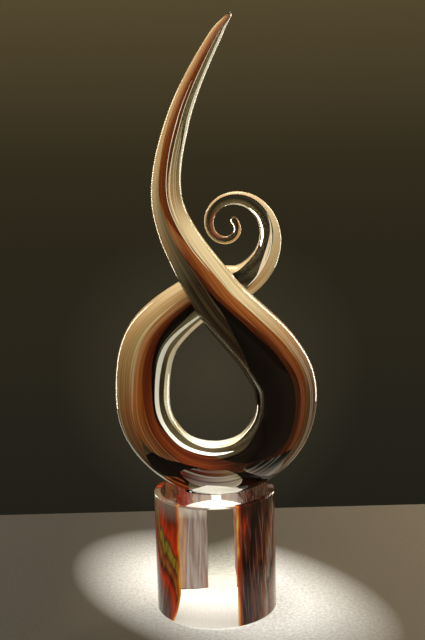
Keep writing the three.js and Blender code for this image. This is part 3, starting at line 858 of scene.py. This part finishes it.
def panel_glass(name, bands, back, threads, lean, shift, thread_width, painted_glow_span, rim_reflection_tone):
    """Streaked art glass rolled on hot and drawn upwards. bands are its colours by the place
    across it, from BAND_MARGIN before one edge to as much past the other; the drawing leans them
    by lean from the foot to the top, the rolling bends them, and finer threads of two tones lie
    among them. Behind, the bands give way to pale stripes, the ramp back, with a top painted
    whiter for the light that the base gathers there. Along the edge beside the window, light
    shining through is painted in, scarlet to yellow, from the first place of fringe to the
    second, and in front under the rim the colour turns to shoulder, a painted reflection of the
    clear rim above."""
    material, tree = new_material(name)
    lengths = add(tree, "ShaderNodeUVMap", uv_map="lengths").outputs[0]
    shares = add(tree, "ShaderNodeUVMap", uv_map="shares").outputs[0]
    across = add(tree, "ShaderNodeSeparateXYZ", {0: shares})
    where = add(tree, "ShaderNodeTexCoord")
    place = add(tree, "ShaderNodeSeparateXYZ", {0: where.outputs["Object"]})
    swirl = streak_noise(tree, lengths, SWIRL_SIZE, 3, 0.3 * lean, 0.8, shift)
    stripes = streak_noise(tree, lengths, STRIPE_SIZE, 3, 0, 0.3, shift)
    thread_size = (20 * thread_width, thread_width)
    fine = streak_noise(tree, lengths, thread_size, 3, 0.5 * lean, 0.4, shift)
    links = {0: across.outputs[1], 1: 0, 2: 1, 3: -lean / 2, 4: lean / 2}
    leaned = add(tree, "ShaderNodeMapRange", links)
    bent = add(tree, "ShaderNodeMapRange", {0: swirl, 1: 0.25, 2: 0.75, 3: -0.08, 4: 0.08})
    links = {0: leaned.outputs[0], 1: bent.outputs[0]}
    shifted = add(tree, "ShaderNodeMath", links, operation="ADD")
    links = {0: across.outputs[0], 1: shifted.outputs[0]}
    shifted = add(tree, "ShaderNodeMath", links, operation="ADD")
    links = {0: shifted.outputs[0], 1: -BAND_MARGIN, 2: 1 + BAND_MARGIN}
    shifted = add(tree, "ShaderNodeMapRange", links)
    band = add(tree, "ShaderNodeValToRGB", {0: shifted.outputs[0]}, stops=bands)
    stripe = add(tree, "ShaderNodeValToRGB", {0: stripes}, stops=back)
    # the back stripes are painted whiter towards the top, for the light that the base gathers there
    low, high = PAINTED_LIGHT_TOP_HEIGHTS
    painted_light_top = add(tree, "ShaderNodeMapRange", {0: place.outputs[2], 1: low, 2: high, 4: 0.9})
    links = {0: painted_light_top.outputs[0], 6: stripe.outputs[0], 7: paint(WHITE)}
    stripe = add(tree, "ShaderNodeMix", links, data_type="RGBA")
    links = {0: place.outputs[1], 1: BACK_PLACES[0], 2: BACK_PLACES[1]}
    behind = add(tree, "ShaderNodeMapRange", links)
    links = {0: behind.outputs[0], 6: band.outputs[0], 7: stripe.outputs[2]}
    body = add(tree, "ShaderNodeMix", links, data_type="RGBA")
    dark = add(tree, "ShaderNodeMapRange", {0: fine, 1: 0.5, 2: 0.36, 3: 0, 4: 0.5})
    links = {0: dark.outputs[0], 6: body.outputs[2], 7: paint(threads[0])}
    body = add(tree, "ShaderNodeMix", links, data_type="RGBA")
    light = add(tree, "ShaderNodeMapRange", {0: fine, 1: 0.55, 2: 0.7, 3: 0, 4: 0.5})
    links = {0: light.outputs[0], 6: body.outputs[2], 7: paint(threads[1])}
    body = add(tree, "ShaderNodeMix", links, data_type="RGBA")
    # under the rim in front the colour turns to a painted reflection of the clear rim above the
    # panel: pale on the left panel, dark on the right
    low, high = RIM_REFLECTION_HEIGHTS
    under_rim = add(tree, "ShaderNodeMapRange", {0: place.outputs[2], 1: low, 2: high, 4: 0.7})
    links = {0: place.outputs[1], 1: RIM_REFLECTION_PLACES[0], 2: RIM_REFLECTION_PLACES[1]}
    front = add(tree, "ShaderNodeMapRange", links)
    links = {0: under_rim.outputs[0], 1: front.outputs[0]}
    painted_rim_reflection = add(tree, "ShaderNodeMath", links, operation="MULTIPLY")
    links = {0: painted_rim_reflection.outputs[0], 6: body.outputs[2], 7: paint(rim_reflection_tone)}
    body = add(tree, "ShaderNodeMix", links, data_type="RGBA")
    # a painted glow along the panel's edge beside the window: light shining through the thin glass
    # there, painted in scarlet, amber and yellow
    glow = add(tree, "ShaderNodeMapRange", {0: across.outputs[0], 1: painted_glow_span[0], 2: painted_glow_span[1]})
    uneven = add(tree, "ShaderNodeMapRange", {0: swirl, 1: 0.35, 2: 0.6, 3: 0.4, 4: 1})
    links = {0: glow.outputs[0], 1: uneven.outputs[0]}
    glow = add(tree, "ShaderNodeMath", links, operation="MULTIPLY")
    stops = ((0, SCARLET), (0.5, SCARLET), (0.75, AMBER), (1, YELLOW))
    painted_glow_colour = add(tree, "ShaderNodeValToRGB", {0: glow.outputs[0]}, stops=stops)
    links = {0: glow.outputs[0], 6: body.outputs[2], 7: painted_glow_colour.outputs[0]}
    body = add(tree, "ShaderNodeMix", links, data_type="RGBA")
    looks = {"Base Color": body.outputs[2], "Roughness": 0.5, "Specular IOR Level": 0}
    shader = add(tree, "ShaderNodeBsdfPrincipled", looks)
    add(tree, "ShaderNodeOutputMaterial", {"Surface": shader.outputs[0]})
    return material


PANEL_RINGS = 120
PANEL_ARC_POINTS = 90
PANEL_EDGE_SHARE = 0.03
PANEL_FOOT_GAP = 0.6 * MM
PANEL_TOP_GAP = 1.2 * MM
BACK_LIFT = 9 * MM
# the lift begins where the bearing's cosine, taken from straight behind, passes this
BACK_LIFT_START = 0.75
SWING_HEIGHT = 26 * MM
SWING_DEGREES = 10
PANEL_WANDER = 0.1
PANEL_WANDER_LENGTHS = (71 * MM, 24 * MM, 57 * MM, 19 * MM)


def panel_tube(bearings, swing, seed, material, inner):
    """A wrapped slab under the base's skin: rings are taken up the height, and each ring is two
    arcs between the bearings that meet in round edges; the edges wander a little. Behind, its
    foot rises by up to BACK_LIFT, and swing turns its last edge over the lowest SWING_HEIGHT."""
    rise = np.linspace(0, 1, PANEL_RINGS)
    level = BASE_LOW.z + PANEL_FOOT_GAP + rise * (BASE_HIGH.z - PANEL_TOP_GAP - PANEL_FOOT_GAP)
    ripple = ripples(level, PANEL_WANDER_LENGTHS, PANEL_WANDER, seed)
    first = bearings[0] + ripple[0] + ripple[1]
    swung = swing * np.clip(1 - level / SWING_HEIGHT, 0, 1) ** 1.5
    last = bearings[1] + ripple[2] + ripple[3] + swung
    across, depth = rounded_section(PANEL_ARC_POINTS, PANEL_EDGE_SHARE)
    reach = (BASE_RADIUS - PANEL_DEPTH + PANEL_THICKNESS / 2 * depth)[None]
    bearing = np.radians(first[:, None] + (last - first)[:, None] * across[None])
    x, y = np.sin(bearing) * reach, -np.cos(bearing) * reach
    behind = np.clip((-np.cos(bearing) - BACK_LIFT_START) / (1 - BACK_LIFT_START), 0, 1)
    height = level[:, None] + BACK_LIFT * behind * (1 - rise[:, None])
    points = np.stack([x, y, height], -1)
    closed = np.concatenate([bearing, bearing[:, :1]], 1) * BASE_RADIUS
    lengths = np.stack(np.broadcast_arrays(level[:, None], closed), -1)
    place = np.append(across, 0)[None]
    shares = np.stack(np.broadcast_arrays(place, level[:, None] / BASE_HIGH.z), -1)
    return Tube(points, lengths, shares, False, material, inner, PANEL_ARC_POINTS - 1)


DUSKY_STRIPES = (
    (0.28, UMBER), (0.4, MAUVE), (0.48, SILVER), (0.54, MAUVE), (0.62, PINK_TAN), (0.72, CREAM)
)
left_streaks = panel_glass(
    "streaked_glass_left",
    (
        (0, SCARLET), (0.15, MAROON), (0.25, OXBLOOD), (0.35, SCARLET), (0.45, MAROON),
        (0.55, NEAR_BLACK), (0.61, BLACK_BROWN), (0.65, RED_BROWN), (0.69, SCARLET), (0.72, OXBLOOD),
        (0.75, ORANGE_BROWN), (0.78, RED_BROWN), (0.8, MOSS), (0.825, MOSS), (0.84, UMBER),
        (0.86, SCARLET), (0.91, RED_BROWN), (0.96, MAROON),
    ),
    DUSKY_STRIPES, threads=(MAROON, ORANGE_BROWN), lean=0.5, shift=1.7,
    thread_width=2.4 * MM, painted_glow_span=(0.975, 0.998), rim_reflection_tone=SMOKE,
)
right_streaks = panel_glass(
    "streaked_glass_right",
    (
        (0.1, RED_BROWN), (0.135, SCARLET), (0.15, RED_BROWN), (0.18, OXBLOOD), (0.21, NEAR_BLACK),
        (0.24, MAROON), (0.27, RED_BROWN), (0.29, NEAR_BLACK), (0.33, SIENNA), (0.35, MAUVE),
        (0.37, MAROON), (0.41, SIENNA), (0.44, MAUVE), (0.47, NEAR_BLACK), (0.6, MAROON),
        (0.72, OXBLOOD), (0.84, MAUVE), (1, MAROON),
    ),
    DUSKY_STRIPES, threads=(NEAR_BLACK, MAUVE), lean=-0.14, shift=4.3,
    thread_width=2 * MM, painted_glow_span=(0.03, 0.002), rim_reflection_tone=BLACK_BROWN,
)
inner_streaks = panel_glass(
    "streaked_glass_inside",
    (
        (0, SCARLET), (0.12, RED_BROWN), (0.22, OXBLOOD), (0.3, SCARLET), (0.38, RED_BROWN),
        (0.44, ORANGE_BROWN), (0.52, OXBLOOD), (0.6, UMBER), (0.68, OXBLOOD), (0.76, SIENNA),
        (0.9, MAROON), (1, SCARLET),
    ),
    DUSKY_STRIPES, threads=(MAUVE, SILVER), lean=0.06, shift=7.9,
    thread_width=1.4 * MM, painted_glow_span=(0.99, 0.999), rim_reflection_tone=SIENNA,
)
for side, bearings, swing, seed, outside in (
    ("left", LEFT_PANEL_BEARINGS, -SWING_DEGREES, 61, left_streaks),
    ("right", RIGHT_PANEL_BEARINGS, 0, 62, right_streaks),
):
    tube = panel_tube(bearings, swing, seed, outside, inner_streaks)
    make_piece(f"base_{side}_streaked_panel", [tube], f"base_{side}_panel")

# cured clear glue: not quite as glossy as the glass
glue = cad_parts["glue_film"]
glue.data.materials.clear()
glue.data.materials.append(clear_glass("clear_cured_glue", "#FBFAF5", 0.05))

# the table and its cloth

TABLE_BACK = 0.22
TABLE_REACH = 1.0
TABLE_THICKNESS = 30 * MM
TABLE_TOP = -0.3 * MM
THREAD_SPACING = 1.2 * MM
WEAVE_RELIEF = 0.3 * MM
# the pool of light painted into the cloth's colour: its middle on the table, its turn in degrees and
# its half width and depth
POOL_CENTRE = (6 * MM, 27 * MM, 0)
POOL_TURN = -49
POOL_REACH = (258 * MM, 155 * MM, 1)


def woven_cloth():
    """Pale cotton cloth over the table: a soft, matt speckle of threads, drawn coarser than a
    real plain weave so that it shows. Light and shade are painted into its colour: pale in a
    painted pool of light, painted shade outside it, and lighter towards the right."""
    material, tree = new_material("pale_woven_cloth")
    where = add(tree, "ShaderNodeTexCoord").outputs["Object"]
    weave = add(tree, "ShaderNodeTexNoise", {0: where, "Scale": 0.5 / THREAD_SPACING, "Detail": 3})
    turned = (0, 0, math.radians(POOL_TURN))
    links = {0: where, "Location": POOL_CENTRE, "Rotation": turned, "Scale": POOL_REACH}
    placed = add(tree, "ShaderNodeMapping", links, vector_type="TEXTURE")
    links = {0: placed.outputs[0]}
    pool = add(tree, "ShaderNodeTexGradient", links, gradient_type="SPHERICAL")
    split = add(tree, "ShaderNodeSeparateXYZ", {0: where})
    # outside the pool the cloth is painted in shade, lighter towards the right
    painted_light_rightward = add(tree, "ShaderNodeMapRange", {0: split.outputs[0], 1: -0.15, 2: 0.2})
    links = {0: painted_light_rightward.outputs[0], 6: paint("#3C3426"), 7: paint("#63553E")}
    tone = add(tree, "ShaderNodeMix", links, data_type="RGBA")
    # the painted pool of light
    lit = add(tree, "ShaderNodeMapRange", {0: pool.outputs[1], 1: 0.34, 2: 0.68})
    links = {0: lit.outputs[0], 6: tone.outputs[2], 7: paint("#E6E3DC")}
    tone = add(tree, "ShaderNodeMix", links, data_type="RGBA")
    speck = add(tree, "ShaderNodeMapRange", {0: weave.outputs[0], 1: 0.3, 2: 0.7, 3: 0.35, 4: 0})
    links = {0: speck.outputs[0], 6: tone.outputs[2], 7: paint("#4A463C")}
    tone = add(tree, "ShaderNodeMix", links, data_type="RGBA")
    links = {"Height": weave.outputs[0], "Distance": WEAVE_RELIEF, "Strength": 0.5}
    bump = add(tree, "ShaderNodeBump", links)
    looks = {"Base Color": tone.outputs[2], "Roughness": 0.9, "Normal": bump.outputs[0]}
    shader = add(tree, "ShaderNodeBsdfPrincipled", looks)
    add(tree, "ShaderNodeOutputMaterial", {"Surface": shader.outputs[0]})
    return material


corners = [(x * TABLE_REACH, -TABLE_REACH) for x in (-1, 1)]
corners += [(x * TABLE_REACH, TABLE_BACK) for x in (1, -1)]
upper = [(x, y, TABLE_TOP) for x, y in corners]
under = [(x, y, TABLE_TOP - TABLE_THICKNESS) for x, y in corners]
sides = [(0, 4, 5, 1), (1, 5, 6, 2), (2, 6, 7, 3), (3, 7, 4, 0)]
table_mesh = bpy.data.meshes.new("table")
table_mesh.from_pydata(upper + under, [], [(0, 1, 2, 3), (4, 7, 6, 5), *sides])
table_mesh.materials.append(woven_cloth())
table = bpy.data.objects.new("table", table_mesh)
bpy.context.scene.collection.objects.link(table)

# the lamps

LOOP_MIDDLE = (0, 0, 0.2)
SPOT_BULB_RADIUS = 20 * MM


def turned_to(target, place):
    """The turn of a lamp at this place that shines on the target."""
    return (Vector(target) - Vector(place)).to_track_quat("-Z", "Y").to_euler()


def area_lamp(name, place, size, radiance, colour, reflected=True):
    """A softbox of this width and height, turned to the loop; one that isn't reflected lights
    the glass but does not show in it."""
    lamp = bpy.data.lights.new(name, "AREA")
    lamp.shape = "RECTANGLE"
    lamp.size, lamp.size_y = size
    lamp.energy = radiance * math.pi * size[0] * size[1]
    lamp.color = paint(colour)[:3]
    made = bpy.data.objects.new(name, lamp)
    made.location = place
    made.rotation_euler = turned_to(LOOP_MIDDLE, place)
    made.visible_camera = False
    made.visible_glossy = reflected
    made.visible_transmission = reflected
    bpy.context.scene.collection.objects.link(made)


def spot_lamp(name, place, target, energy, degrees, blend):
    """A spot this many degrees wide on the target; it shines through the rod without a shadow
    and does not show in the glass."""
    lamp = bpy.data.lights.new(name, "SPOT")
    lamp.energy = energy
    lamp.spot_size = math.radians(degrees)
    lamp.spot_blend = blend
    lamp.shadow_soft_size = SPOT_BULB_RADIUS
    lamp.use_shadow = False
    made = bpy.data.objects.new(name, lamp)
    made.location = place
    made.rotation_euler = turned_to(target, place)
    made.visible_glossy = False
    made.visible_transmission = False
    bpy.context.scene.collection.objects.link(made)


area_lamp("overhead_softbox", (0, 0.3, 1.0), (0.34, 0.34), 7, "#FFF6E6")
area_lamp("back_right_strip", (0.7, 0.84, 0.35), (0.2, 1.0), 8, "#FFF3DE")
area_lamp("back_left_strip", (-0.7, 0.84, 0.35), (0.16, 1.0), 8, "#FFF3DE")
area_lamp("front_fill", (-0.3, -1.2, 0.8), (0.9, 0.9), 2, "#FFF8EE", reflected=False)
spot_lamp("pool_spot", (0, 0.02, 1.0), (0, 0.02, 0), energy=13, degrees=15, blend=0.6)
base_spot_place = (0, -0.45, 0.95)
spot_lamp("base_spot", base_spot_place, (0, 0.01, 0.075), energy=18, degrees=5.4, blend=0.3)
spot_lamp("foot_spot", base_spot_place, (0, 0, 0.097), energy=26, degrees=3.2, blend=0.5)
# stands for the light that the clear base gathers and throws up on the foot
under_table = (0, -0.15, -0.7)
spot_lamp("light_from_base", under_table, (0, -0.005, 0.1), energy=22, degrees=4.4, blend=0.5)

# the dark wall and the room

# the wall's colour by the rise of the line of sight, over WALL_RISES: painted light and shade, darker
# towards the bottom
WALL_RISES = (-0.4, 0.2)
WALL_STOPS = (
    (0, "#1F1E17"), (0.25, "#24221A"), (0.4, "#2A261B"), (0.55, "#2B261A"), (0.7, "#332D1E"),
    (0.95, "#52472F"),
)
# a faint painted glow of light on the wall behind the loop's eye
GLOW_DIRECTION = (0, 0.98, -0.2)
GLOW_REACH = 0.16

# the glass is lit by a soft pale room, and only what is seen of it is the dark wall
world = bpy.data.worlds.new("dark_studio")
bpy.context.scene.world = world
world.use_nodes = True
tree = world.node_tree
tree.nodes.clear()
ray = add(tree, "ShaderNodeLightPath")
rays = {0: ray.outputs["Is Camera Ray"], 1: ray.outputs["Is Glossy Ray"]}
seen = add(tree, "ShaderNodeMath", rays, operation="MAXIMUM")
rays = {0: seen.outputs[0], 1: ray.outputs["Is Transmission Ray"]}
seen = add(tree, "ShaderNodeMath", rays, operation="MAXIMUM")
where = add(tree, "ShaderNodeTexCoord")
split = add(tree, "ShaderNodeSeparateXYZ", {0: where.outputs["Generated"]})
rise = add(tree, "ShaderNodeMapRange", {0: split.outputs[2], 1: WALL_RISES[0], 2: WALL_RISES[1]})
wall = add(tree, "ShaderNodeValToRGB", {0: rise.outputs[0]}, stops=WALL_STOPS)
links = {0: where.outputs["Generated"], "Location": GLOW_DIRECTION, "Scale": (GLOW_REACH,) * 3}
placed = add(tree, "ShaderNodeMapping", links, vector_type="TEXTURE")
glow = add(tree, "ShaderNodeTexGradient", {0: placed.outputs[0]}, gradient_type="SPHERICAL")
# the painted glow mixed into the wall
links = {0: glow.outputs[1], 6: wall.outputs[0], 7: paint("#403A2D")}
lit_wall = add(tree, "ShaderNodeMix", links, data_type="RGBA")
soft = add(tree, "ShaderNodeBackground", {"Color": paint("#FFFDF8"), "Strength": 0.95})
shown = add(tree, "ShaderNodeBackground", {"Color": lit_wall.outputs[2], "Strength": 1})
parts = {0: seen.outputs[0], 1: soft.outputs[0], 2: shown.outputs[0]}
mixed = add(tree, "ShaderNodeMixShader", parts)
add(tree, "ShaderNodeOutputWorld", {"Surface": mixed.outputs[0]})

# the camera, as fitted to the base's two rims

LENS = 54.17
SENSOR_LONG_SIDE = 36
NEAR_CLIP = 0.01
FRAME_SHIFT_X = 0.0041
CAMERA_PITCH = 8.53
CAMERA_ROLL = 1.48
camera_data = bpy.data.cameras.new("camera")
camera_data.lens = LENS
camera_data.sensor_width = SENSOR_LONG_SIDE
camera_data.clip_start = NEAR_CLIP
camera_data.shift_x = FRAME_SHIFT_X
camera = bpy.data.objects.new("camera", camera_data)
level = Matrix.Rotation(math.radians(90 - CAMERA_PITCH), 4, "X")
rolled = Matrix.Rotation(math.radians(-CAMERA_ROLL), 4, "Z")
camera.matrix_world = Matrix.Translation(CAMERA_PLACE) @ level @ rolled
bpy.context.scene.collection.objects.link(camera)
bpy.context.scene.camera = camera
bpy.context.scene.view_settings.view_transform = "Standard"
